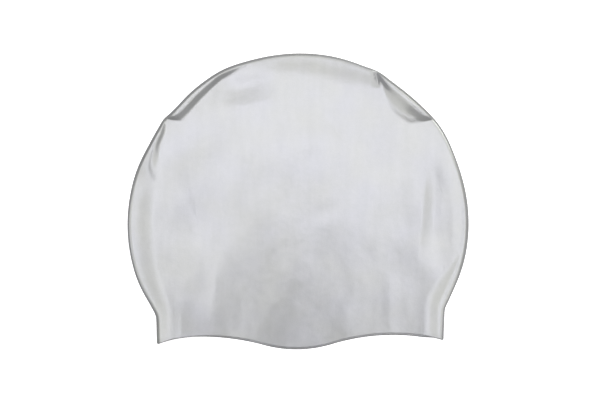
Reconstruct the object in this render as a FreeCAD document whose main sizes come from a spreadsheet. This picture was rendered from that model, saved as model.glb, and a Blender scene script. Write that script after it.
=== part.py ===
import FreeCAD, Part
import math
import os
import Sketcher
from FreeCAD import Vector

# A one-piece silicone hair-highlighting cap, lying flat on a table.
#
# Frame, in millimetres: +Z is up from the table, +Y runs from the mouth to the crown and +X is to the right.
# The origin is the middle of the cap's outline, on the table.
#
# The cap is a flat bag.  A front wall lies over a back wall, and a full-round fold joins them all the way
# round the crown and down both ears.  The mouth is open towards -Y.  Its edge is a wave: a lobe in the middle
# (nape and forehead), an arch on each side (over the ear) and a corner at each end, and it carries a rim that
# is thicker than the wall.  All of it is one moulding.  Each node is one region of that moulding, and meets
# its neighbours face to face.

DIMENSIONS = (
    ("crown_radius", 110.0, "outer radius of the round crown, seen from above"),
    ("cap_length", 190.5, "from the crown to the lowest point of the mouth edge"),
    ("ear_half_width", 93.5, "half the width across the ears, at the mouth"),
    ("fold_radius", 5.0, "outer radius of the fold: the cap lies twice this thick"),
    ("wall", 0.8, "thickness of the silicone in the walls and the fold"),
    ("waist_radius", 8.0, "outer radius of the hollow where the crown turns down into an ear"),
    ("rim_width", 3.0, "width of the thickened rim along the mouth edge"),
    ("rim_wall", 1.6, "thickness of the silicone in the rim"),
    ("lobe_radius", 80.0, "radius of the mouth edge's middle lobe"),
    ("arch_offset", 60.0, "from the middle of the cap to the top of each arch"),
    ("arch_rise", 8.55, "height of the arches' tops above the lobe's lowest point"),
)

# Expressions over the sheet.
THICKNESS = "2 * dims.fold_radius"
CROWN_Y = "dims.cap_length / 2 - dims.crown_radius"
MOUTH_Y = "-dims.cap_length / 2"
WAIST_X = "dims.ear_half_width + dims.waist_radius"
WAIST_REACH = "(dims.crown_radius + dims.waist_radius)"
WAIST_Y = f"{CROWN_Y} - sqrt({WAIST_REACH}^2 - ({WAIST_X})^2)"
WAIST_TURN = f"acos(({WAIST_X}) / {WAIST_REACH})"
ARCH_RADIUS = "(dims.arch_offset^2 + dims.arch_rise^2) / (2 * dims.arch_rise) - dims.lobe_radius"
RIM_DEPTH = "(dims.arch_rise + dims.rim_width + dims.wall)"

# Sketcher's numbers for the points of an edge, the origin and the vertical axis.
START, END, CENTRE = 1, 2, 3
ORIGIN = (-1, START)
Y_AXIS = -2

doc = FreeCAD.newDocument("highlighting_cap")


def make_sheet():
    """The spreadsheet of driving dimensions, one alias a row."""
    sheet = doc.addObject("Spreadsheet::Sheet", "dims")
    for row, (alias, size, meaning) in enumerate(DIMENSIONS, start=1):
        sheet.set(f"A{row}", meaning)
        sheet.set(f"B{row}", str(size))
        sheet.setAlias(f"B{row}", alias)
    doc.recompute()
    return sheet


sheet = make_sheet()


def value(expression):
    """What an expression over the sheet comes to now, in millimetres or degrees."""
    found = sheet.evalExpression(expression)
    return float(getattr(found, "Value", found))


def place(obj, x="0", y="0", z="0"):
    """Puts an object at a point given by expressions."""
    for axis, expression in zip("xyz", (x, y, z)):
        obj.setExpression(f".Placement.Base.{axis}", expression)
    obj.Placement.Base = Vector(value(x), value(y), value(z))


def make_body(name):
    """An empty PartDesign body."""
    return doc.addObject("PartDesign::Body", name)


def make_sketch(body, name, plane, height="0"):
    """A sketch on one of a body's own origin planes, or parallel to it at a height."""
    sketch = body.newObject("Sketcher::SketchObject", name)
    role = [f for f in body.Origin.OriginFeatures if f.Role == plane]
    sketch.AttachmentSupport = [(role[0], "")]
    sketch.MapMode = "FlatFace"
    sketch.setExpression(".AttachmentOffset.Base.z", height)
    return sketch


def hold(sketch, kind, *refs):
    """Adds a constraint.  If its last value is an expression, the constraint follows the sheet."""
    if not isinstance(refs[-1], str):
        return sketch.addConstraint(Sketcher.Constraint(kind, *refs))
    number = sketch.addConstraint(Sketcher.Constraint(kind, *refs[:-1], value(refs[-1])))
    sketch.setExpression(f"Constraints[{number}]", refs[-1])
    return number


def add_line(sketch, x0, y0, x1, y1):
    """A straight edge, drawn near where its constraints will hold it."""
    return sketch.addGeometry(Part.LineSegment(Vector(x0, y0, 0), Vector(x1, y1, 0)), False)


def add_arc(sketch, x, y, radius, start, end):
    """An arc about (x, y), anticlockwise from one angle to another in degrees."""
    circle = Part.Circle(Vector(x, y, 0), Vector(0, 0, 1), radius)
    arc = Part.ArcOfCircle(circle, math.radians(start), math.radians(end))
    return sketch.addGeometry(arc, False)


def draw_fold_section(sketch, centre_x):
    """The C of the fold: a half ring of wall thickness about (centre_x, fold_radius), open towards -x."""
    x, y = value(centre_x), value("dims.fold_radius")
    outer = add_arc(sketch, x, y, y, -90, 90)
    inner = add_arc(sketch, x, y, y - value("dims.wall"), -90, 90)
    hold(sketch, "Radius", outer, "dims.fold_radius")
    hold(sketch, "Radius", inner, "dims.fold_radius - dims.wall")
    hold(sketch, "Coincident", outer, CENTRE, inner, CENTRE)
    hold(sketch, "DistanceX", *ORIGIN, outer, CENTRE, centre_x)
    hold(sketch, "DistanceY", *ORIGIN, outer, CENTRE, "dims.fold_radius")
    for end, side in ((START, -1), (END, 1)):
        edge = add_line(sketch, x, y + side * y, x, y + side * (y - value("dims.wall")))
        hold(sketch, "Coincident", edge, START, outer, end)
        hold(sketch, "Coincident", edge, END, inner, end)
        hold(sketch, "Vertical", outer, CENTRE, outer, end)
        hold(sketch, "Vertical", inner, CENTRE, inner, end)


def draw_wave(sketch, inset, half_width):
    """The mouth edge moved into the cap by inset: an arch, the lobe and an arch, from right to left.

    Returns the three arcs.  The two outer ends stand at half_width from the middle.
    """
    mouth, rise = value(MOUTH_Y), value("dims.arch_rise")
    lobe_radius = value(f"dims.lobe_radius - {inset}")
    arch_radius = value(f"{ARCH_RADIUS} + {inset}")
    lobe_y = mouth + value("dims.lobe_radius")
    arch_x, arch_y = value("dims.arch_offset"), mouth + rise - value(ARCH_RADIUS)
    lean = math.degrees(math.atan2(arch_x, lobe_y - arch_y))
    reach = math.degrees(math.asin((value(half_width) - arch_x) / arch_radius))
    lobe = add_arc(sketch, 0, lobe_y, lobe_radius, 270 - lean, 270 + lean)
    right = add_arc(sketch, arch_x, arch_y, arch_radius, 90 - reach, 90 + lean)
    left = add_arc(sketch, -arch_x, arch_y, arch_radius, 90 - lean, 90 + reach)
    hold(sketch, "PointOnObject", lobe, CENTRE, Y_AXIS)
    hold(sketch, "Radius", lobe, f"dims.lobe_radius - {inset}")
    hold(sketch, "DistanceY", *ORIGIN, lobe, CENTRE, f"{MOUTH_Y} + dims.lobe_radius")
    for arch, end, lobe_end, side in ((right, END, END, ""), (left, START, START, "-")):
        hold(sketch, "Tangent", arch, end, lobe, lobe_end)
        hold(sketch, "Radius", arch, f"{ARCH_RADIUS} + {inset}")
        hold(sketch, "DistanceX", *ORIGIN, arch, CENTRE, f"{side}dims.arch_offset")
    hold(sketch, "DistanceX", *ORIGIN, right, START, half_width)
    hold(sketch, "DistanceX", *ORIGIN, left, END, f"-({half_width})")
    return right, lobe, left


def draw_wall_outline(sketch):
    """A wall seen from above: the crown, two waists, two ears and the rim's inner line."""
    half_width = "dims.ear_half_width - dims.fold_radius"
    right_arch, _, left_arch = draw_wave(sketch, "dims.rim_width", half_width)
    x, waist_x, waist_y = value(half_width), value(WAIST_X), value(WAIST_Y)
    turn = value(WAIST_TURN)
    below = value(f"{MOUTH_Y} + dims.rim_width")
    crown_radius = value("dims.crown_radius - dims.fold_radius")
    crown = add_arc(sketch, 0, value(CROWN_Y), crown_radius, -turn, 180 + turn)
    hold(sketch, "PointOnObject", crown, CENTRE, Y_AXIS)
    hold(sketch, "Radius", crown, "dims.crown_radius - dims.fold_radius")
    hold(sketch, "DistanceY", *ORIGIN, crown, CENTRE, CROWN_Y)
    waist_radius = value("dims.waist_radius + dims.fold_radius")
    for side, arch, arch_end, crown_end in ((1, right_arch, START, START), (-1, left_arch, END, END)):
        start, end = (180 - turn, 180) if side > 0 else (0, turn)
        waist = add_arc(sketch, side * waist_x, waist_y, waist_radius, start, end)
        on_crown, on_ear = (START, END) if side > 0 else (END, START)
        ear = add_line(sketch, side * x, waist_y, side * x, below)
        hold(sketch, "Radius", waist, "dims.waist_radius + dims.fold_radius")
        hold(sketch, "Tangent", crown, crown_end, waist, on_crown)
        hold(sketch, "Tangent", waist, on_ear, ear, START)
        hold(sketch, "Vertical", ear)
        hold(sketch, "Coincident", ear, END, arch, arch_end)


def draw_rim_band(sketch):
    """The rim seen from above: the strip between the mouth edge and the rim's inner line."""
    outer_right, _, outer_left = draw_wave(sketch, "0", "dims.ear_half_width")
    inner_right, _, inner_left = draw_wave(sketch, "dims.rim_width", "dims.ear_half_width")
    x, mouth, width = value("dims.ear_half_width"), value(MOUTH_Y), value("dims.rim_width")
    for side, outer, inner, end in ((1, outer_right, inner_right, START), (-1, outer_left, inner_left, END)):
        edge = add_line(sketch, side * x, mouth, side * x, mouth + width)
        hold(sketch, "Coincident", edge, START, outer, end)
        hold(sketch, "Coincident", edge, END, inner, end)


def draw_rim_tube_section(sketch):
    """The rim seen from the mouth: a long flat ring with round ends, as thick as the rim's silicone."""
    x, y = value("dims.ear_half_width - dims.fold_radius"), value("dims.fold_radius")
    for radius in ("dims.fold_radius", "dims.fold_radius - dims.rim_wall"):
        size = value(radius)
        right = add_arc(sketch, x, y, size, -90, 90)
        left = add_arc(sketch, -x, y, size, 90, 270)
        top = add_line(sketch, x, y + size, -x, y + size)
        bottom = add_line(sketch, -x, y - size, x, y - size)
        for one, one_end, other, other_end in (
            (right, END, top, START),
            (top, END, left, START),
            (left, END, bottom, START),
            (bottom, END, right, START),
        ):
            hold(sketch, "Tangent", one, one_end, other, other_end)
        hold(sketch, "Horizontal", top)
        hold(sketch, "Horizontal", bottom)
        hold(sketch, "Radius", right, radius)
        hold(sketch, "DistanceX", *ORIGIN, right, CENTRE, "dims.ear_half_width - dims.fold_radius")
        hold(sketch, "DistanceX", *ORIGIN, left, CENTRE, "-(dims.ear_half_width - dims.fold_radius)")
        hold(sketch, "DistanceY", *ORIGIN, right, CENTRE, "dims.fold_radius")


def pad(body, name, sketch, length):
    """Pads a sketch along its plane's normal."""
    feature = body.newObject("PartDesign::Pad", name)
    feature.Profile = sketch
    feature.setExpression("Length", length)
    feature.Length = value(length)
    return feature


def revolve(body, name, sketch, angle, reversed_turn=False, midplane=False):
    """Revolves a sketch about the body's vertical axis."""
    feature = body.newObject("PartDesign::Revolution", name)
    feature.Profile = sketch
    feature.ReferenceAxis = (sketch, ["V_Axis"])
    feature.Reversed = reversed_turn
    feature.Midplane = midplane
    feature.setExpression("Angle", angle)
    feature.Angle = value(angle)
    return feature


def make_wall(name, height):
    """One of the two flat walls."""
    body = make_body(name)
    sketch = make_sketch(body, f"{name}_outline", "XY_Plane", height)
    draw_wall_outline(sketch)
    pad(body, f"{name}_sheet", sketch, "dims.wall")
    return body


def make_crown_fold():
    """The fold round the crown, from one waist to the other: the C revolved about the crown's centre."""
    body = make_body("crown_fold")
    place(body, y=CROWN_Y)
    sketch = make_sketch(body, "crown_fold_section", "YZ_Plane")
    draw_fold_section(sketch, "dims.crown_radius - dims.fold_radius")
    revolve(body, "crown_fold_turn", sketch, f"180 deg + 2 * {WAIST_TURN}", midplane=True)
    return body


def make_right_ear_fold():
    """The fold at the right ear: the C turned through the waist, then straight down to the rim."""
    body = make_body("right_ear")
    place(body, x=WAIST_X, y=WAIST_Y)
    centre_x = "-(dims.waist_radius + dims.fold_radius)"
    waist_sketch = make_sketch(body, "waist_section", "XZ_Plane")
    draw_fold_section(waist_sketch, centre_x)
    revolve(body, "waist_turn", waist_sketch, WAIST_TURN, reversed_turn=True)
    ear_sketch = make_sketch(body, "ear_section", "XZ_Plane")
    draw_fold_section(ear_sketch, centre_x)
    pad(body, "ear_run", ear_sketch, f"{WAIST_Y} - ({MOUTH_Y})")
    arch = doc.addObject("Part::Cylinder", "arch_cutter")
    arch.setExpression("Radius", f"{ARCH_RADIUS} + dims.rim_width")
    arch.setExpression("Height", THICKNESS)
    place(arch, x="dims.arch_offset", y=f"{MOUTH_Y} + dims.arch_rise - ({ARCH_RADIUS})")
    fold = doc.addObject("Part::Cut", "right_ear_fold")
    fold.Base, fold.Tool = body, arch
    return fold


def make_left_ear_fold(right_fold):
    """The left ear is the right one mirrored."""
    fold = doc.addObject("Part::Mirroring", "left_ear_fold")
    fold.Source = right_fold
    fold.Normal = Vector(1, 0, 0)
    return fold


def make_rim_tube():
    """The thick flat tube that both rims are cut from."""
    body = make_body("rim_tube")
    place(body, y=f"{MOUTH_Y} + {RIM_DEPTH}")
    sketch = make_sketch(body, "rim_tube_section", "XZ_Plane")
    draw_rim_tube_section(sketch)
    pad(body, "rim_tube_run", sketch, RIM_DEPTH)
    return body


def make_rim(name, tube, height):
    """The front or back half of the rim: the thick tube, trimmed to the wave and split at mid thickness."""
    band = make_body(f"{name}_band")
    sketch = make_sketch(band, f"{name}_outline", "XY_Plane", height)
    draw_rim_band(sketch)
    pad(band, f"{name}_half", sketch, "dims.fold_radius")
    rim = doc.addObject("Part::Common", name)
    rim.Base, rim.Tool = tube, band
    return rim


def make_parts():
    """Every node of the cap, by name."""
    right_fold = make_right_ear_fold()
    tube = make_rim_tube()
    return {
        "front_wall": make_wall("front_wall", f"{THICKNESS} - dims.wall"),
        "back_wall": make_wall("back_wall", "0"),
        "crown_fold": make_crown_fold(),
        "right_ear_fold": right_fold,
        "left_ear_fold": make_left_ear_fold(right_fold),
        "front_rim": make_rim("front_rim", tube, "dims.fold_radius"),
        "back_rim": make_rim("back_rim", tube, "0"),
    }


def check(parts):
    """Stops if any object of the document failed, or if a node isn't one valid solid."""
    failed = [o.Name for o in doc.Objects if {"Invalid", "Error"} & set(o.State)]
    if failed:
        raise RuntimeError(f"objects failed: {failed}")
    for name, part in parts.items():
        shape = part.Shape
        if shape.isNull() or not shape.isValid() or len(shape.Solids) != 1:
            raise RuntimeError(f"{name} is not one valid solid")


def export(parts):
    """Writes one STEP file a node."""
    os.makedirs("parts", exist_ok=True)
    for name, part in parts.items():
        part.Label = name
        part.Shape.exportStep(os.path.join("parts", f"{name}.step"))
        box = part.Shape.BoundBox
        print(f"{name:16s} {part.Shape.Volume:9.1f} mm3   x {box.XMin:7.2f} {box.XMax:7.2f}   "
              f"y {box.YMin:7.2f} {box.YMax:7.2f}   z {box.ZMin:5.2f} {box.ZMax:5.2f}")


parts = make_parts()
doc.recompute()
check(parts)
export(parts)
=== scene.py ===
import math

import bpy
import numpy as np
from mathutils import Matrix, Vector, noise
from mathutils.kdtree import KDTree


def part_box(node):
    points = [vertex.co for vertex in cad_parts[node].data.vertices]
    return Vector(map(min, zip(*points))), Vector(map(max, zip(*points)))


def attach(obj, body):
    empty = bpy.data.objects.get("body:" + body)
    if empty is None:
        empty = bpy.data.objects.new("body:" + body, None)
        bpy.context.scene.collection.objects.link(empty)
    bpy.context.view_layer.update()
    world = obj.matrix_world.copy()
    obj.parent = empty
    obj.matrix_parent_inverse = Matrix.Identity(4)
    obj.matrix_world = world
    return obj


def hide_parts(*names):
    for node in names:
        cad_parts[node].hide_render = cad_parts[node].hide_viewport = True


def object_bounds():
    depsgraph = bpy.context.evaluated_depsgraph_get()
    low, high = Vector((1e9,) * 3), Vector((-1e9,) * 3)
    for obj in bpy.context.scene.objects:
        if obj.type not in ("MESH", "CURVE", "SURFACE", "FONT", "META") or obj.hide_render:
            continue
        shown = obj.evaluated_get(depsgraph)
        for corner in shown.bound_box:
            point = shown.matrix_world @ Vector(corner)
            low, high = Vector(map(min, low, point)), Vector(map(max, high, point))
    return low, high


# A silver silicone hair cap, lying flat and creased on a white table.
#
# The cap is one moulding: a front wall over a back wall, a fold round the crown and down both ears, and a
# thicker rim round the open mouth.  Its whole outer skin is worked out as one surface and then cut into the
# CAD nodes' regions, so neighbours share their edge points and their normals, and no seam shows.
#
# Shapes are worked out in millimetres in the CAD frame, and make_object turns them into metres.

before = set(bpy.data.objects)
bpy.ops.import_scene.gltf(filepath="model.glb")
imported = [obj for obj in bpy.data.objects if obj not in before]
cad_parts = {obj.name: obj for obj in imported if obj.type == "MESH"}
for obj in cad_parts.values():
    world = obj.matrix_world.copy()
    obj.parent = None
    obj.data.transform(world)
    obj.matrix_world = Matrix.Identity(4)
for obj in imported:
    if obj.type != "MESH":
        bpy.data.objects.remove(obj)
cad_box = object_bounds()
MM = 0.001

# ---------------------------------------------------------------------------------------------------------
# Sizes that come from the CAD frame.


def cad_corners(node):
    """A CAD node's lowest and highest corners, in millimetres."""
    return [np.array(corner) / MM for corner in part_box(node)]


LOW, HIGH = [np.array(corner) / MM for corner in cad_box]
CROWN_RADIUS = HIGH[0]
CROWN_Y = HIGH[1] - CROWN_RADIUS
MOUTH_Y = LOW[1]
TOP = HIGH[2]
FOLD = TOP / 2
# The fold's section is half an ellipse, narrower than it is high.
FOLD_WIDTH = 0.56 * FOLD
WALL = cad_corners("back_wall")[1][2] - cad_corners("back_wall")[0][2]
EAR_HALF_WIDTH = cad_corners("front_rim")[1][0]
EARS_BELOW_Y = cad_corners("crown_fold")[0][1]

# The mouth edge's wave: a lobe in the middle and an arch on each side.
LOBE_RADIUS = 80.0
ARCH_OFFSET = 60.0
ARCH_RISE = 8.55
ARCH_RADIUS = (ARCH_OFFSET ** 2 + ARCH_RISE ** 2) / (2 * ARCH_RISE) - LOBE_RADIUS
# The wave leans up to the right, and its left corner hangs a little lower.
MOUTH_LEAN = 0.8
LEFT_CORNER_DROP = 0.9
LEFT_CORNER_FROM, LEFT_CORNER_WIDTH = -78.0, 14.0

# The rim, and how far its outer face swells: most of all from this share of the way to its tip.
RIM_WIDTH = 3.0
RIM_WALL = 1.6
RIM_BEAD = 0.02
BEAD_FROM = 0.75
# Below the front rim's edge a little of the back rim shows.  That fades out at the two corners, over these
# distances at the right and the left.
FRONT_EDGE_BACK = 0.6
BACK_EDGE_OUT = 1.2
RIGHT_EDGE_FADE, LEFT_EDGE_FADE = 14.0, 60.0
# Rows across the rim's section: down its outer face, round its tip and back along its lining.
FACE_ROWS, TIP_ROWS, LINING_ROWS = 9, 12, 5
SKIN_ROWS = FACE_ROWS + TIP_ROWS

# How the outline leaves the true circle: degrees round the crown, spread in degrees, height in millimetres.
DENTS = (
    (-24, 8, -0.8),
    (2, 20, 0.4),
    (34, 9, 1.4),
    (62, 4, 1.1),
    (76, 14, 0.5),
    (116, 7, 0.9),
    (136, 6, -1.0),
    (142.2, 2, 0.7),
    (152, 7, -0.9),
    (186, 16, 0.3),
    (209, 6, -1.0),
)
# The waists in degrees round the crown, and the mouth's corners in x.
RIGHT_WAIST, LEFT_WAIST = -30.0, 213.0
RIGHT_CORNER_X, LEFT_CORNER_X = EAR_HALF_WIDTH + 0.6, -EAR_HALF_WIDTH + 2.3

# Mesh density: stations along the fold and along the mouth, and steps round the fold's turn.
FOLD_STATIONS = 672
MOUTH_STATIONS = 224
TURN_STEPS = 40
# The outline starts as a finer line.  These are the points of its crown and of all of it, and how many of
# them a corner is rounded over, to each side.
CROWN_POINTS, OUTLINE_POINTS, CORNER_POINTS = 2000, 5000, 44
# Stations stand closer together here: degrees round the crown, spread in degrees, how many times more.
CROWDED = ((61.0, 3.0, 2.5), (140.5, 3.0, 1.6), (40.0, 4.0, 0.8), (120.0, 6.0, 0.5))


def smooth(x):
    """0 below 0, 1 above 1 and an S curve between."""
    x = np.clip(x, 0.0, 1.0)
    return x * x * (3 - 2 * x)


# ---------------------------------------------------------------------------------------------------------
# The outline, seen from above.


def crown_radius(degrees):
    """The outline's distance from the crown's centre."""
    radius = np.full_like(degrees, CROWN_RADIUS, dtype=float)
    for at, spread, height in DENTS:
        radius += height * np.exp(-((degrees - at) / spread) ** 2)
    return radius


def round_crown(degrees, inset=0.0):
    """Points on the outline round the crown, or moved in from it."""
    degrees = np.asarray(degrees, float)
    radius = crown_radius(degrees) - inset
    angle = np.radians(degrees)
    return np.stack([radius * np.cos(angle), CROWN_Y + radius * np.sin(angle)], -1)


def mouth_edge(x):
    """The height in y of the mouth edge across the cap."""
    x = np.asarray(x, float)
    side = np.abs(x)
    join = ARCH_OFFSET * LOBE_RADIUS / (LOBE_RADIUS + ARCH_RADIUS)
    lobe = LOBE_RADIUS - np.sqrt(LOBE_RADIUS ** 2 - np.minimum(side, join) ** 2)
    arch = ARCH_RISE - ARCH_RADIUS + np.sqrt(ARCH_RADIUS ** 2 - (side - ARCH_OFFSET) ** 2)
    corner = smooth((LEFT_CORNER_FROM - x) / LEFT_CORNER_WIDTH)
    lean = MOUTH_LEAN * x / ARCH_OFFSET - LEFT_CORNER_DROP * corner
    return MOUTH_Y + np.where(side < join, lobe, arch) + lean


def ear_foot(x):
    """The mouth's corner at the foot of an ear."""
    return np.array([x, mouth_edge(x)])


def resample(line, count, weight=None):
    """count + 1 points along a line, closer together where weight is larger."""
    lengths = np.linalg.norm(np.diff(line, axis=0), axis=1)
    if weight is not None:
        lengths = lengths * (weight[1:] + weight[:-1]) / 2
    along = np.concatenate([[0], np.cumsum(lengths)])
    wanted = np.linspace(0, along[-1], count + 1)
    return np.stack([np.interp(wanted, along, line[:, k]) for k in range(line.shape[1])], -1)


def soften(line, width):
    """Rounds a line's corners with a moving average, and keeps its two ends."""
    padded = np.concatenate([
        2 * line[0] - line[width:0:-1],
        line,
        2 * line[-1] - line[-2:-width - 2:-1],
    ])
    window = np.hanning(2 * width + 1)
    window /= window.sum()
    return np.stack([np.convolve(padded[:, k], window, "valid") for k in range(2)], -1)


def crown_turn(points):
    """Degrees round the crown's centre, from the right, with no jump over the cap's left side."""
    turn = np.degrees(np.arctan2(points[..., 1] - CROWN_Y, points[..., 0]))
    return np.where(turn < -90, turn + 360, turn)


def make_silhouette():
    """The outline from the right rim line up over the crown to the left rim line, and its inward normals."""
    crown = round_crown(np.linspace(RIGHT_WAIST, LEFT_WAIST, CROWN_POINTS))
    line = np.concatenate([[ear_foot(RIGHT_CORNER_X)], crown, [ear_foot(LEFT_CORNER_X)]])
    line = soften(resample(line, OUTLINE_POINTS), CORNER_POINTS)
    weight = np.ones(len(line))
    for at, spread, more in CROWDED:
        weight += more * np.exp(-((crown_turn(line) - at) / spread) ** 2)
    above_rim = line[:, 1] >= mouth_edge(line[:, 0]) + RIM_WIDTH
    line, weight = line[above_rim], weight[above_rim]
    line = resample(line, FOLD_STATIONS, weight)
    tangent = np.gradient(line, axis=0)
    tangent /= np.linalg.norm(tangent, axis=1)[:, None]
    return line, np.stack([-tangent[:, 1], tangent[:, 0]], -1)


SILHOUETTE, INWARD = make_silhouette()


def make_edge_tree():
    """The outline's points, for finding the nearest one."""
    tree = KDTree(len(SILHOUETTE))
    for number, (x, y) in enumerate(SILHOUETTE):
        tree.insert((x, y, 0), number)
    tree.balance()
    return tree


EDGE_TREE = make_edge_tree()


def inset_of(points):
    """Each point's distance in from the fold's outline."""
    return np.array([EDGE_TREE.find((x, y, 0))[2] for x, y in points])


# ---------------------------------------------------------------------------------------------------------
# Rolls, creases and swells of the front wall.
#
# A roll is a band along the edge with a step on its inner side.  Its rows are: degrees round the crown, how
# far in from the edge the step is steepest, the band's height, and how wide the step is outside and inside
# that line.  A band of a height below 0 lies lower than the wall, so the wall slopes down to the edge there.

ROLLS = (
    # The roll at the upper left, which ends abruptly in a hook at the edge.
    (
        (106.0, 2.2, 0.0, 1.4, 2.0),
        (110.0, 3.0, 0.6, 1.8, 2.0),
        (114.0, 4.2, 1.6, 2.4, 2.2),
        (118.0, 4.6, 2.7, 2.8, 2.2),
        (122.0, 5.6, 3.1, 3.1, 2.2),
        (126.0, 6.3, 3.5, 3.2, 2.4),
        (130.0, 6.6, 3.5, 3.0, 3.0),
        (134.0, 6.6, 3.4, 2.9, 3.4),
        (138.0, 6.0, 3.0, 2.7, 4.2),
        (139.8, 4.4, 2.3, 2.4, 2.6),
        (141.0, 2.0, 1.0, 1.4, 1.6),
        (141.8, 0.8, 0.0, 0.8, 1.0),
    ),
    # The roll at the upper right, with a long slope inside it.
    (
        (37.6, 0.8, 0.0, 0.8, 1.0),
        (38.6, 3.0, 1.2, 1.8, 3.0),
        (39.8, 4.6, 2.2, 2.4, 6.0),
        (42.0, 5.6, 2.9, 3.0, 10.0),
        (46.0, 6.0, 3.4, 2.8, 12.0),
        (50.0, 5.8, 3.2, 2.8, 12.0),
        (54.0, 5.5, 2.7, 2.6, 9.0),
        (58.0, 4.7, 2.4, 2.6, 3.4),
        (60.6, 3.4, 1.5, 2.0, 1.8),
        (62.2, 1.2, 0.0, 0.8, 1.0),
    ),
    # The crease down from the hook, and the band below it that slopes out to the left edge.
    (
        (142.2, 1.0, 0.0, 0.8, 1.5),
        (143.8, 3.2, 1.1, 1.8, 2.2),
        (146.5, 4.8, 1.9, 2.6, 2.2),
        (150.5, 5.6, 2.0, 3.2, 2.6),
        (154.5, 8.0, 1.7, 4.6, 3.4),
        (159.0, 10.2, 1.0, 7.0, 4.5),
        (164.0, 12.2, -0.1, 8.0, 7.5),
        (170.0, 11.4, -0.7, 7.0, 9.0),
        (180.0, 11.2, -0.95, 7.0, 10.0),
        (192.0, 10.4, -0.9, 7.0, 10.0),
        (204.0, 8.2, -0.75, 6.0, 8.0),
        (214.0, 6.4, -0.4, 5.0, 7.0),
        (230.0, 6.0, 0.0, 5.0, 6.0),
    ),
    # The band that slopes out to the right ear's edge, and the faint line up the right side.
    (
        (-50.0, 6.4, 0.0, 3.0, 9.0),
        (-36.0, 6.4, -0.9, 3.0, 10.0),
        (-26.0, 7.0, -1.05, 3.0, 10.0),
        (-18.0, 6.4, -0.7, 2.6, 6.0),
        (-10.0, 4.6, 0.0, 1.4, 1.6),
        (2.0, 3.8, 0.2, 1.6, 2.0),
        (14.0, 3.4, 0.12, 1.4, 1.6),
        (31.0, 4.0, 0.0, 1.4, 1.6),
    ),
    # The band along the top, which slopes out a little below the edge.
    (
        (60.0, 7.0, 0.0, 3.0, 6.0),
        (65.0, 7.0, -0.35, 3.0, 8.0),
        (76.0, 9.0, -0.45, 5.0, 9.0),
        (92.0, 8.0, -0.3, 4.0, 8.0),
        (106.0, 8.0, 0.0, 4.0, 6.0),
    ),
)

# The pinch beside the right roll runs straight in from the edge.  Its rows are: degrees round the crown,
# millimetres in from the edge, and depth.  Its widths are those of its upper and its lower side.
PINCH = (
    (62.8, 0.8, 0.3),
    (62.5, 2.2, 1.3),
    (61.4, 4.6, 1.4),
    (60.2, 7.0, 0.8),
    (59.4, 9.0, 0.0),
)
PINCH_WIDTHS = (2.0, 0.8)
PINCH_REACH = 20.0

# Gentle swells: centre x and y, half length, half width, heading in degrees, height.  A swell of a height
# below 0 is a shallow dent.
SWELLS = (
    (0, 40, 70, 30, 0, 0.5),
    (-70, 10, 40, 14, 95, -0.3),
    (90, -10, 40, 8, 95, -0.35),
    (-36, 72, 12, 9, 20, -0.3),
    (9, 29, 7, 5, 60, -0.15),
    (17, -7, 7, 5, 30, -0.12),
    (-66, -8, 14, 3, 105, -0.18),
    (24, 48, 20, 3, 128, -0.10),
)
# The wall sags between its edges, and reaches its full depth this far in from the fold.
SAG = 1.2
SAG_REACH = 45.0

# Soft bends across the wall.  Their rows are: the line's start and end (x, y, x, y), how far the wall drops
# on the line's left, seen from its start, over what width it drops, over what width it recovers, and how
# gradually the bend begins and ends.
BENDS = (
    # Up the wall from the left part of the mouth.
    (-56, -74, -46.5, -10, 0.34, 12, 36, 40),
    # Down the right side.
    (82.5, 15, 77.5, -34, 0.52, 8, 14, 36),
    # Down to the mouth beside the right ear.
    (58, -42, 60, -100, 0.34, 18, 16, 26),
    # Up from the mouth at the left ear.
    (-76, -98, -75, -72, 0.2, 7, 10, 20),
    # Across, below the upper end of the left roll.
    (-44, 61, -15, 65, 0.5, 18, 28, 22),
)
# Random unevenness: sizes and heights, its longer and shorter way, and where its pattern is taken from.
RIPPLES = ((52.0, 0.28), (20.0, 0.12), (9.0, 0.03))
BACK_RIPPLE = (34.0, 0.25)
RIPPLE_STRETCH = (1.25, 0.8)
RIPPLES_FROM = (140, 300)
# Rolls and the pinch fade out over these distances from the edge.
ROLL_FADE, PINCH_FADE = 2.4, 2.0


def smooth_route(rows, steps=24):
    """A Catmull-Rom curve through the rows, every column alike."""
    rows = np.array(rows, float)
    ends = np.concatenate([[2 * rows[0] - rows[1]], rows, [2 * rows[-1] - rows[-2]]])
    share = np.linspace(0, 1, steps, endpoint=False)[:, None]
    parts = []
    for before, start, end, after in zip(ends, ends[1:], ends[2:], ends[3:]):
        parts.append(0.5 * (
            2 * start
            + (end - before) * share
            + (2 * before - 5 * start + 4 * end - after) * share ** 2
            + (3 * start - before - 3 * end + after) * share ** 3
        ))
    return np.concatenate(parts + [rows[-1:]])


def ramp_area(x):
    """The area under the S curve from 0 to x, for x from 0 to 1."""
    return x ** 3 - x ** 4 / 2


def roll_height(points, inset, rows):
    """How far a roll raises each point."""
    route = smooth_route(rows)
    turn = crown_turn(points)
    line, height, outer, inner = [np.interp(turn, route[:, 0], route[:, k]) for k in range(1, 5)]
    height = np.where((turn > route[0, 0]) & (turn < route[-1, 0]), height, 0)
    gap = inset - line
    steepest = 2 * height / (outer + inner)
    outer_drop = outer * ramp_area(np.clip(1 + gap / outer, 0, 1))
    inner_share = np.clip(gap / inner, 0, 1)
    inner_drop = outer / 2 + inner * (inner_share - ramp_area(inner_share))
    return height - steepest * np.where(gap < 0, outer_drop, inner_drop)


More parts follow.
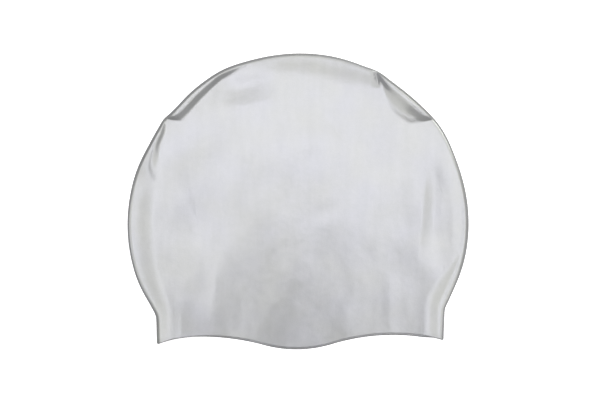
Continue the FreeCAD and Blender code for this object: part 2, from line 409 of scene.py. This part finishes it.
def pinch_depth(points):
    """How far the pinch lowers each point."""
    route = smooth_route(PINCH)
    line = round_crown(route[:, 0], route[:, 1])
    heading = np.gradient(line, axis=0)
    near = np.flatnonzero(np.linalg.norm(points - line.mean(0), axis=1) < PINCH_REACH)
    away = points[near, None] - line[None]
    at = (away ** 2).sum(axis=2).argmin(axis=1)
    away = away[np.arange(len(near)), at]
    gap = np.linalg.norm(away, axis=1)
    below = heading[at, 0] * away[:, 1] - heading[at, 1] * away[:, 0] > 0
    width = np.where(below, PINCH_WIDTHS[1], PINCH_WIDTHS[0])
    lowered = np.zeros(len(points))
    lowered[near] = np.maximum(route[at, 2], 0) * np.exp(-((gap / width) ** 1.5))
    return lowered


def swell_height(points, x, y, half_length, half_width, heading, height):
    """How far a swell raises each point."""
    angle = math.radians(heading)
    away = points - np.array([x, y])
    along = away @ np.array([math.cos(angle), math.sin(angle)])
    across = away @ np.array([-math.sin(angle), math.cos(angle)])
    return height * np.exp(-((along / half_length) ** 2) - (across / half_width) ** 2)


def ripple_height(points, size, height):
    """Soft random unevenness of one size."""
    places = (points + RIPPLES_FROM) * RIPPLE_STRETCH / size
    return height * np.array([noise.noise(Vector((x, y, size))) for x, y in places])


def bend_depth(points, start_x, start_y, end_x, end_y, drop, fall, recovery, fade):
    """How far a bend lowers each point on the left of its line."""
    start, end = np.array([start_x, start_y]), np.array([end_x, end_y])
    length = np.linalg.norm(end - start)
    heading = (end - start) / length
    along = (points - start) @ heading
    beside = (points - start) @ np.array([-heading[1], heading[0]])
    falling = np.sin(math.pi / 2 * np.clip(beside / fall, 0, 1))
    recovering = smooth(1 - (beside - fall) / recovery)
    ends = smooth(along / fade + 0.5) * smooth((length - along) / fade + 0.5)
    return drop * falling * recovering * ends


def front_shape(points, inset):
    """How far the front wall stands above or below a flat cap's, at points seen from above."""
    inside = smooth((inset - FOLD) / SAG_REACH)
    raised = -SAG * inside
    calm = smooth((inset - FOLD / 2) / (3 * FOLD))
    for size, height in RIPPLES:
        raised += calm * ripple_height(points, size, height)
    for bend in BENDS:
        raised -= calm * bend_depth(points, *bend)
    for swell in SWELLS:
        raised += calm * swell_height(points, *swell)
    for rows in ROLLS:
        raised += smooth(inset / ROLL_FADE) * roll_height(points, inset, rows)
    return raised - smooth(inset / PINCH_FADE) * pinch_depth(points)


def back_shape(points, inset):
    """The back wall lies on the table, and lifts a little here and there."""
    calm = smooth((inset - FOLD) / (3 * FOLD))
    return calm * np.abs(ripple_height(points, *BACK_RIPPLE))


# ---------------------------------------------------------------------------------------------------------
# Pieces as points and faces.


class Piece:
    """One closed mesh.  Its skin faces share their normals with the neighbouring pieces' skins."""

    def __init__(self, name):
        self.name = name
        self.points = np.zeros((0, 3))
        self.faces = {"skin": [], "lining": [], "joint": []}

    def add(self, points):
        """Adds points and returns their numbers."""
        points = np.asarray(points, float)
        start = len(self.points)
        self.points = np.concatenate([self.points, points.reshape(-1, 3)])
        return np.arange(start, len(self.points)).reshape(points.shape[:-1])

    def join(self, kind, a, b, c, d, flip=False):
        """Adds four-cornered faces from arrays of point numbers.  A triangle gives its last corner twice."""
        numbers = np.stack([np.ravel(corner) for corner in (a, b, c, d)], -1)
        self.faces[kind].append(numbers[:, ::-1] if flip else numbers)

    def grid(self, kind, rows, flip=False):
        """Joins rows of points with quads.  With flip the faces look the other way."""
        number = self.add(rows)
        self.join(kind, number[:-1, :-1], number[:-1, 1:], number[1:, 1:], number[1:, :-1], flip)


def lift(plan, z):
    """Plan points with heights."""
    return np.concatenate([plan, np.asarray(z)[..., None]], -1)


def add_rings(piece, kind, rim, insets, counts, height, flip):
    """Fills a closed ring with smaller and smaller rings towards the crown's centre.

    Where a ring has half as many points as the one outside it, triangles join them.
    """
    centre = np.array([0.0, CROWN_Y])
    rings = []
    for inset, count in zip(insets, counts):
        plan = centre + (rim[:: len(rim) // count] - centre) * (1 - inset / (CROWN_RADIUS - FOLD))
        rings.append(piece.add(lift(plan, height(plan))))
    for outer, inner in zip(rings, rings[1:]):
        step = len(outer) // len(inner)
        a, b = outer[::step], np.roll(outer[::step], -1)
        c, d = np.roll(inner, -1), inner
        if step == 1:
            piece.join(kind, a, b, c, d, flip)
        else:
            between = outer[1::step]
            piece.join(kind, a, between, d, d, flip)
            piece.join(kind, between, c, d, d, flip)
            piece.join(kind, between, b, c, c, flip)
    middle = np.full(len(rings[-1]), piece.add(lift(centre[None], height(centre[None])))[0])
    piece.join(kind, rings[-1], np.roll(rings[-1], -1), middle, middle, flip)
    return rings[0]


TURNS = np.linspace(0, math.pi, TURN_STEPS + 1)


def make_fold_rows():
    """Outer and inner rows of the whole fold, front to back: arrays of [angle, station, xyz]."""
    outer, inner = [], []
    for turn in TURNS:
        inset = FOLD_WIDTH * (1 - math.sin(turn))
        plan = slant_ends(SILHOUETTE + INWARD * inset)
        shape = np.zeros(len(plan))
        if turn < math.pi / 2:
            shape = front_shape(plan, np.full(len(plan), inset))
        outer.append(lift(plan, FOLD + FOLD * math.cos(turn) + shape))
        inset = FOLD_WIDTH - (FOLD_WIDTH - WALL) * math.sin(turn)
        plan = slant_ends(SILHOUETTE + INWARD * inset)
        inner.append(lift(plan, FOLD + (FOLD - WALL) * math.cos(turn) + shape))
    return np.array(outer), np.array(inner)


def slant_ends(plan):
    """Moves the fold's ends in y so that they finish on the rim line, which follows the mouth's wave."""
    plan = plan.copy()
    for side, rim_end, waist in ((1, 0, RIGHT_WAIST), (-1, -1, LEFT_WAIST)):
        waist_y = round_crown(waist)[1]
        share = smooth((waist_y - SILHOUETTE[:, 1]) / (waist_y - SILHOUETTE[rim_end, 1]))
        ours = SILHOUETTE[:, 0] * side > 0
        wanted = mouth_edge(plan[rim_end, 0]) + RIM_WIDTH
        plan[ours, 1] += (share * (wanted - plan[rim_end, 1]))[ours]
    return plan


FOLD_OUTER, FOLD_INNER = make_fold_rows()

# The mouth's stations in x, from left to right, between the fold's two ends.
MOUTH_X = np.linspace(FOLD_OUTER[0, -1, 0], FOLD_OUTER[0, 0, 0], MOUTH_STATIONS + 1)[1:-1]


def wall_ring():
    """The closed line round a wall: the fold's inner line and the rim's inner line."""
    mouth = np.stack([MOUTH_X, mouth_edge(MOUTH_X) + RIM_WIDTH], -1)
    return np.concatenate([FOLD_OUTER[0, :, :2], mouth])


WALL_RING = wall_ring()

# The rings of a wall's skin and of its lining, in runs: up to this inset, the step from ring to ring, and
# the share of the outermost ring's points.
SKIN_RINGS = ((17.6, 0.4, 1), (44, 1.2, 2), (80, 3.0, 4), (100, 5.0, 8))
LINING_RINGS = ((0.8, 0.8, 1), (20, 1.6, 2), (80, 5.0, 4), (95, 7.5, 8))


def steps(runs):
    """Each ring's inset and number of points."""
    insets, counts, at = [0.0], [len(WALL_RING)], 0.0
    for end, step, share in runs:
        while at + step <= end + 1e-6:
            at += step
            insets.append(at)
            counts.append(len(WALL_RING) // share)
    return insets, counts


def front_height(plan):
    """The height of the front wall's skin."""
    return TOP + front_shape(plan, inset_of(plan))


def back_height(plan):
    """The height of the back wall's skin."""
    return back_shape(plan, inset_of(plan))


def make_wall(name, height, towards_inside, flip):
    """A wall: skin, lining and the joint face between them all round."""
    def lining_height(plan):
        return height(plan) + towards_inside * WALL

    piece = Piece(name)
    skin = add_rings(piece, "skin", WALL_RING, *steps(SKIN_RINGS), height, flip)
    lining = add_rings(piece, "lining", WALL_RING, *steps(LINING_RINGS), lining_height, not flip)
    piece.join("joint", skin, lining, np.roll(lining, -1), np.roll(skin, -1), flip)
    return piece


def make_fold(name, first, last):
    """The fold between two stations: skin, lining and the joint faces round its edge."""
    piece = Piece(name)
    outer, inner = FOLD_OUTER[:, first:last + 1], FOLD_INNER[:, first:last + 1]
    piece.grid("skin", outer, flip=True)
    piece.grid("lining", inner)
    piece.grid("joint", [outer[0], inner[0]])
    piece.grid("joint", [outer[-1], inner[-1]], flip=True)
    piece.grid("joint", [outer[:, 0], inner[:, 0]], flip=True)
    piece.grid("joint", [outer[:, -1], inner[:, -1]])
    return piece


# ---------------------------------------------------------------------------------------------------------
# The rim.


def rim_section():
    """Rows across the rim: distance from the mouth edge and distance out of the skin, skin then lining.

    The lining thins to the wall's thickness over its second half.
    """
    half = RIM_WALL / 2
    rows = []
    for share in np.linspace(0, 1, FACE_ROWS):
        edge = RIM_WIDTH + (half - RIM_WIDTH) * share
        swelling = math.sin(math.pi * min(share, BEAD_FROM) / (2 * BEAD_FROM)) ** 2
        rows.append((edge, RIM_BEAD * swelling))
    start = rows[-1][1]
    for angle in np.linspace(0, math.pi, TIP_ROWS + 1)[1:]:
        out = (half + start / 2) * math.cos(angle) - half + start / 2
        rows.append((half - half * math.sin(angle), out))
    for share in np.linspace(0, 1, LINING_ROWS + 1)[1:]:
        edge = half + (RIM_WIDTH - half) * share
        rows.append((edge, -RIM_WALL + (RIM_WALL - WALL) * smooth((share - 0.5) * 2)))
    return np.array(rows)


SECTION = rim_section()


def ear_edge_x(side, y):
    """The ear's outline below the rim line, carried on straight from the fold."""
    foot = ear_foot(RIGHT_CORNER_X if side > 0 else LEFT_CORNER_X)
    head = round_crown(RIGHT_WAIST if side > 0 else LEFT_WAIST)
    return foot[0] + (head[0] - foot[0]) * (y - foot[1]) / (head[1] - foot[1])


def rim_bend(side, turn):
    """One section of the rim at an angle of the fold's bend."""
    end = 0 if side > 0 else -1
    x_line, _, z_line = FOLD_OUTER[int(round(turn / math.pi * TURN_STEPS)), end]
    rim_line = mouth_edge(x_line) + RIM_WIDTH
    rows = []
    for edge, out in SECTION:
        bead = out if out < 0 else out * math.cos(turn / 2) ** 2
        y = mouth_edge(x_line) + edge
        x = x_line + ear_edge_x(side, y) - ear_edge_x(side, rim_line)
        rows.append((x + side * bead * math.sin(turn), y, z_line + bead * math.cos(turn)))
    return rows


def rim_flat(x, front):
    """One section of the rim across the front or the back."""
    y = mouth_edge(x) + SECTION[:, 0]
    moved = FRONT_EDGE_BACK if front else -BACK_EDGE_OUT
    moved *= smooth((EAR_HALF_WIDTH - x) / RIGHT_EDGE_FADE) * smooth((x + EAR_HALF_WIDTH) / LEFT_EDGE_FADE)
    y += moved * (1 - SECTION[:, 0] / RIM_WIDTH)
    plan = np.stack([np.full(len(y), x), y], -1)
    if front:
        z = front_height(plan) + SECTION[:, 1]
    else:
        z = back_height(plan) - np.minimum(SECTION[:, 1], 0)
    return lift(plan, z)


def make_rim(name, front):
    """The front or back half of the rim, from the middle of one bend across to the middle of the other."""
    middle = TURN_STEPS // 2
    turns = TURNS[middle::-1] if front else TURNS[middle:]
    sections = [rim_bend(1, turn) for turn in turns]
    sections += [rim_flat(x, front) for x in MOUTH_X[::-1]]
    sections += [rim_bend(-1, turn) for turn in turns[::-1]]
    sections = np.array(sections)
    piece = Piece(name)
    piece.grid("skin", sections[:, :SKIN_ROWS], flip=front)
    piece.grid("lining", sections[:, SKIN_ROWS - 1:], flip=front)
    piece.grid("joint", sections[:, [-1, 0]], flip=front)
    half = sections.shape[1] // 2
    for section, is_last in ((sections[0], False), (sections[-1], True)):
        piece.grid("joint", [section[:half], section[:-half - 1:-1]], flip=is_last == front)
    return piece


# ---------------------------------------------------------------------------------------------------------
# From points and faces to Blender objects.


def make_object(piece, material):
    """Builds a piece's Blender mesh, in metres.  Points at the same place become one."""
    _, first, number = np.unique(np.round(piece.points, 4), axis=0, return_index=True, return_inverse=True)
    piece.points = piece.points[first]
    corners, kinds = [], []
    for kind, arrays in piece.faces.items():
        faces = number.ravel()[np.concatenate(arrays)]
        distinct = [len(set(face)) > 2 for face in faces.tolist()]
        corners.append(faces[distinct])
        kinds += [kind] * sum(distinct)
    kinds = np.array(kinds)
    piece.corners, piece.is_skin = np.concatenate(corners), kinds == "skin"
    polygons = [[i for k, i in enumerate(face) if i != face[k - 1]] for face in piece.corners.tolist()]
    mesh = bpy.data.meshes.new(piece.name)
    mesh.from_pydata((piece.points * MM).tolist(), [], polygons)
    mesh.polygons.foreach_set("use_smooth", kinds != "joint")
    mesh.materials.append(material)
    mesh.update()
    piece.object = bpy.data.objects.new(piece.name, mesh)
    bpy.context.scene.collection.objects.link(piece.object)


def share_normals(pieces):
    """Gives every skin point the normal of the whole skin, so that neighbouring pieces meet with no seam."""
    points = np.concatenate([piece.points for piece in pieces])
    _, place = np.unique(np.round(points, 3), axis=0, return_inverse=True)
    place = place.ravel()
    total = np.zeros((len(points), 3))
    start = 0
    for piece in pieces:
        a, b, c, d = piece.points[piece.corners[piece.is_skin]].transpose(1, 0, 2)
        normal = np.cross(c - a, d - b)
        for corner in piece.corners[piece.is_skin].T:
            np.add.at(total, place[start + corner], normal)
        start += len(piece.points)
    start = 0
    for piece in pieces:
        mesh = piece.object.data
        vertex = np.zeros(len(mesh.loops), int)
        mesh.loops.foreach_get("vertex_index", vertex)
        sides = np.zeros(len(mesh.polygons), int)
        mesh.polygons.foreach_get("loop_total", sides)
        normal = total[place[start + vertex]]
        normal /= np.maximum(np.linalg.norm(normal, axis=1), 1e-9)[:, None]
        normal[~np.repeat(piece.is_skin, sides)] = 0
        mesh.normals_split_custom_set(normal.tolist())
        start += len(piece.points)


# ---------------------------------------------------------------------------------------------------------
# Materials.


# The silicone's two greys, which mix in soft clouds, and how much its gloss varies.
WARM_GREY = (0.410, 0.414, 0.402)
COOL_GREY = (0.408, 0.412, 0.422)
GLOSS_RANGE = 0.02
FLAKE_SIZE = 0.28


class Shading:
    """A material with one shader, and short ways to add its nodes.  Sizes are in millimetres."""

    def __init__(self, name):
        self.material = bpy.data.materials.new(name)
        self.material.use_nodes = True
        self.nodes = self.material.node_tree.nodes
        self.links = self.material.node_tree.links
        self.nodes.clear()
        output = self.nodes.new("ShaderNodeOutputMaterial")
        self.shader = self.nodes.new("ShaderNodeBsdfPrincipled")
        self.links.new(self.shader.outputs["BSDF"], output.inputs["Surface"])
        self.place = self.nodes.new("ShaderNodeTexCoord").outputs["Object"]

    def noise(self, size, detail, fineness=0.5, stretch=(1, 1, 1)):
        """Soft noise with patches of about one size."""
        mapping = self.nodes.new("ShaderNodeMapping")
        mapping.inputs["Scale"].default_value = [1 / (size * MM) * s for s in stretch]
        self.links.new(self.place, mapping.inputs["Vector"])
        texture = self.nodes.new("ShaderNodeTexNoise")
        texture.inputs["Scale"].default_value = 1.0
        texture.inputs["Detail"].default_value = detail
        texture.inputs["Roughness"].default_value = fineness
        self.links.new(mapping.outputs["Vector"], texture.inputs["Vector"])
        return texture.outputs["Fac"]

    def flakes(self, size):
        """Tiny cells, each of one shade."""
        texture = self.nodes.new("ShaderNodeTexVoronoi")
        texture.inputs["Scale"].default_value = 1 / (size * MM)
        self.links.new(self.place, texture.inputs["Vector"])
        return texture.outputs["Color"]

    def ramp(self, value, low, high, from_low=0.3, from_high=0.7):
        """A value, stretched from one range to another."""
        node = self.nodes.new("ShaderNodeMapRange")
        node.inputs["From Min"].default_value = from_low
        node.inputs["From Max"].default_value = from_high
        node.inputs["To Min"].default_value = low
        node.inputs["To Max"].default_value = high
        self.links.new(value, node.inputs["Value"])
        return node.outputs["Result"]

    def multiply(self, one, other):
        """The product of two values."""
        node = self.nodes.new("ShaderNodeMath")
        node.operation = "MULTIPLY"
        self.links.new(one, node.inputs[0])
        self.links.new(other, node.inputs[1])
        return node.outputs["Value"]

    def mixed(self, one, other, share):
        """A mix of two colours."""
        node = self.nodes.new("ShaderNodeMix")
        node.data_type = "RGBA"
        node.inputs["A"].default_value = (*one, 1)
        node.inputs["B"].default_value = (*other, 1)
        self.links.new(share, node.inputs["Factor"])
        return node.outputs["Result"]

    def shaded(self, colour, shade):
        """A colour made darker or lighter."""
        node = self.nodes.new("ShaderNodeVectorMath")
        node.operation = "SCALE"
        self.links.new(colour, node.inputs[0])
        self.links.new(shade, node.inputs["Scale"])
        return node.outputs["Vector"]

    def bump(self, height, strength, depth, normal=None):
        """Unevenness too fine for the mesh."""
        node = self.nodes.new("ShaderNodeBump")
        node.inputs["Strength"].default_value = strength
        node.inputs["Distance"].default_value = depth * MM
        self.links.new(height, node.inputs["Height"])
        if normal:
            self.links.new(normal, node.inputs["Normal"])
        return node.outputs["Normal"]


def make_silicone(name, tone, roughness):
    """Silver pearl silicone: a grey with soft clouds, long streaks, fine mottling and tiny flakes."""
    look = Shading(name)
    shader = look.shader
    shader.inputs["Metallic"].default_value = 0.45
    shader.inputs["IOR"].default_value = 1.43

    clouds = look.noise(38, 3, 0.5, (1, 0.7, 1))
    streaks = look.noise(9, 4, 0.6, (1.6, 0.3, 1))
    mottling = look.noise(5, 4, 0.6)
    grain = look.noise(0.55, 3, 0.6)
    shade = look.multiply(look.ramp(clouds, 0.955, 1.035), look.ramp(mottling, 0.975, 1.02))
    shade = look.multiply(shade, look.ramp(streaks, 0.97, 1.025))
    shade = look.multiply(shade, look.ramp(grain, 0.97, 1.02))
    shade = look.multiply(shade, look.ramp(look.flakes(FLAKE_SIZE), 0.985, 1.02, 0.1, 0.9))
    greys = [[part * tone for part in grey] for grey in (WARM_GREY, COOL_GREY)]
    grey = look.mixed(*greys, look.ramp(look.noise(26, 2), 0, 1))
    look.links.new(look.shaded(grey, shade), shader.inputs["Base Color"])

    low, high = roughness - GLOSS_RANGE, roughness + GLOSS_RANGE
    gloss = look.ramp(look.multiply(mottling, clouds), low, high, 0.12, 0.38)
    look.links.new(gloss, shader.inputs["Roughness"])

    normal = look.bump(grain, 0.35, 0.02)
    normal = look.bump(look.noise(3.2, 3, 0.55), 0.4, 0.1, normal)
    look.links.new(normal, shader.inputs["Normal"])
    return look.material


# ---------------------------------------------------------------------------------------------------------
# Camera, light and table.

# The camera's height, the width that it sees at the cap's top, and the middle of that view, in metres.
CAMERA_HEIGHT = 0.965
VIEW_WIDTH = 0.386
VIEW_OFFSET = Vector((0.0013, 0.0006))


def make_camera():
    """Straight above the cap, with the crown at the top of the picture."""
    data = bpy.data.cameras.new("camera")
    data.sensor_width = 36
    data.lens = data.sensor_width * (CAMERA_HEIGHT - TOP * MM) / VIEW_WIDTH
    camera = bpy.data.objects.new("camera", data)
    camera.location = (*VIEW_OFFSET, CAMERA_HEIGHT)
    bpy.context.scene.collection.objects.link(camera)
    bpy.context.scene.camera = camera


# The light is a bright core over the cap, with dimmer wings beside it and behind it, all at one height.  The
# distances are in metres from the cap's middle: in x to the sides, and in y to the front and the back.
LIGHT_HEIGHT = 1.3
LIGHT_SIDE, LIGHT_FRONT, LIGHT_BACK = 1.4, -0.85, 1.9
CORE_LEFT, CORE_RIGHT, CORE_BACK = -0.28, 0.29, 0.18
CORE_LIGHT = (2.84, (0.962, 0.963, 1.045))
WING_COLOUR = (0.98, 0.98, 0.93)
WING_LIGHT = (1.25, WING_COLOUR)
# Left, right, front and back edges, then brightness and colour.
SOFT_BOXES = (
    (CORE_LEFT, CORE_RIGHT, LIGHT_FRONT, CORE_BACK, *CORE_LIGHT),
    (CORE_LEFT, CORE_RIGHT, CORE_BACK, LIGHT_BACK, *WING_LIGHT),
    (-LIGHT_SIDE, CORE_LEFT, LIGHT_FRONT, LIGHT_BACK, *WING_LIGHT),
    (CORE_RIGHT, LIGHT_SIDE, LIGHT_FRONT, LIGHT_BACK, *WING_LIGHT),
)
# The panel stands at the upper right and faces the cap.
SIDE_PANEL = Vector((1.1, 1.0, 0.45))
SIDE_PANEL_SIZE = (1.2, 0.7)
SIDE_PANEL_BRIGHTNESS = 5.0
# A dark card hangs just under the core, so that the front of the cap mirrors less light.  These are its
# corners, seen from above.  It is widest at the back.
CARD = ((-0.172, -0.06), (-0.13, -0.16), (-0.13, -0.90), (0.125, -0.90), (0.125, -0.16), (0.175, -0.06))
CARD_HEIGHT = LIGHT_HEIGHT - 0.02
CARD_SHADE, CARD_GLOW = 0.05, 0.10
TABLE = ((-4, -4), (4, -4), (4, 4), (-4, 4))
TABLE_SHADE, TABLE_GLOW = 0.93, 0.7
PAINT_ROUGHNESS = 0.9
WORLD_COLOUR = (0.90, 0.90, 0.935)
WORLD_BRIGHTNESS = 0.37


def painted_sheet(name, outline, z, shade, glow_colour, glow):
    """A horizontal sheet with the given corners, in matt paint that also glows a little."""
    mesh = bpy.data.meshes.new(name)
    mesh.from_pydata([(x, y, z) for x, y in outline], [], [list(range(len(outline)))])
    sheet = bpy.data.objects.new(name, mesh)
    bpy.context.scene.collection.objects.link(sheet)
    material = bpy.data.materials.new(name + "_paint")
    material.use_nodes = True
    mesh.materials.append(material)
    paint = material.node_tree.nodes["Principled BSDF"]
    paint.inputs["Base Color"].default_value = (shade, shade, shade, 1)
    paint.inputs["Roughness"].default_value = PAINT_ROUGHNESS
    paint.inputs["Emission Color"].default_value = (*glow_colour, 1)
    paint.inputs["Emission Strength"].default_value = glow
    return sheet


def soft_light(name, width, depth, brightness, colour, place):
    """A rectangular light of an even brightness, facing down until it is turned."""
    data = bpy.data.lights.new(name, "AREA")
    data.shape = "RECTANGLE"
    data.size, data.size_y = width, depth
    data.energy = brightness * math.pi * width * depth
    data.color = colour
    light = bpy.data.objects.new(name, data)
    light.location = place
    bpy.context.scene.collection.objects.link(light)
    return light


def make_lights():
    """The soft box over the cap and the panel at its side."""
    for left, right, front, back, brightness, colour in SOFT_BOXES:
        place = ((left + right) / 2, (front + back) / 2, LIGHT_HEIGHT)
        soft_light("soft_box", right - left, back - front, brightness, colour, place)
    panel = soft_light("side_panel", *SIDE_PANEL_SIZE, SIDE_PANEL_BRIGHTNESS, WING_COLOUR, SIDE_PANEL)
    panel.rotation_euler = SIDE_PANEL.to_track_quat("Z", "Y").to_euler()


def make_card():
    """The dark card, which the camera doesn't see."""
    card = painted_sheet("dark_card", CARD, CARD_HEIGHT, CARD_SHADE, WING_COLOUR, CARD_GLOW)
    card.visible_camera = False


def make_table():
    """A white table, which lights nothing and isn't mirrored in the cap."""
    table = painted_sheet("table", TABLE, 0, TABLE_SHADE, (1, 1, 1), TABLE_GLOW)
    table.visible_diffuse = False
    table.visible_glossy = False


def make_world():
    """Even, slightly cool light from all round."""
    world = bpy.data.worlds.new("studio")
    world.use_nodes = True
    background = world.node_tree.nodes["Background"]
    background.inputs["Color"].default_value = (*WORLD_COLOUR, 1)
    background.inputs["Strength"].default_value = WORLD_BRIGHTNESS
    bpy.context.scene.world = world


make_camera()
make_lights()
make_card()
make_table()
make_world()
bpy.context.scene.view_settings.view_transform = "Standard"

# ---------------------------------------------------------------------------------------------------------
# The cap.

ear_stations = np.flatnonzero(SILHOUETTE[:, 1] < EARS_BELOW_Y)
right_end = int(ear_stations[SILHOUETTE[ear_stations, 0] > 0].max())
left_start = int(ear_stations[SILHOUETTE[ear_stations, 0] < 0].min())

# The rim uses a copy of the cap's silicone with its colour 3% darker: painted shade along the mouth.
MATERIALS = {
    "cap_silicone": make_silicone("cap_silicone_pearl", 1.0, 0.235),
    "rim_silicone": make_silicone("rim_silicone_pearl", 0.97, 0.24),
}

# Each piece, the CAD node that it stands for, and its material's slot.
PARTS = (
    (make_wall("cap_front_wall", front_height, -1, False), "front_wall", "cap_silicone"),
    (make_wall("cap_back_wall", back_height, 1, True), "back_wall", "cap_silicone"),
    (make_fold("cap_crown_fold", right_end, left_start), "crown_fold", "cap_silicone"),
    (make_fold("cap_right_ear_fold", 0, right_end), "right_ear_fold", "cap_silicone"),
    (make_fold("cap_left_ear_fold", left_start, FOLD_STATIONS), "left_ear_fold", "cap_silicone"),
    (make_rim("cap_front_rim", True), "front_rim", "rim_silicone"),
    (make_rim("cap_back_rim", False), "back_rim", "rim_silicone"),
)

for piece, node, slot in PARTS:
    make_object(piece, MATERIALS[slot])
    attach(piece.object, "root")
    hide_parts(node)
share_normals([part[0] for part in PARTS])
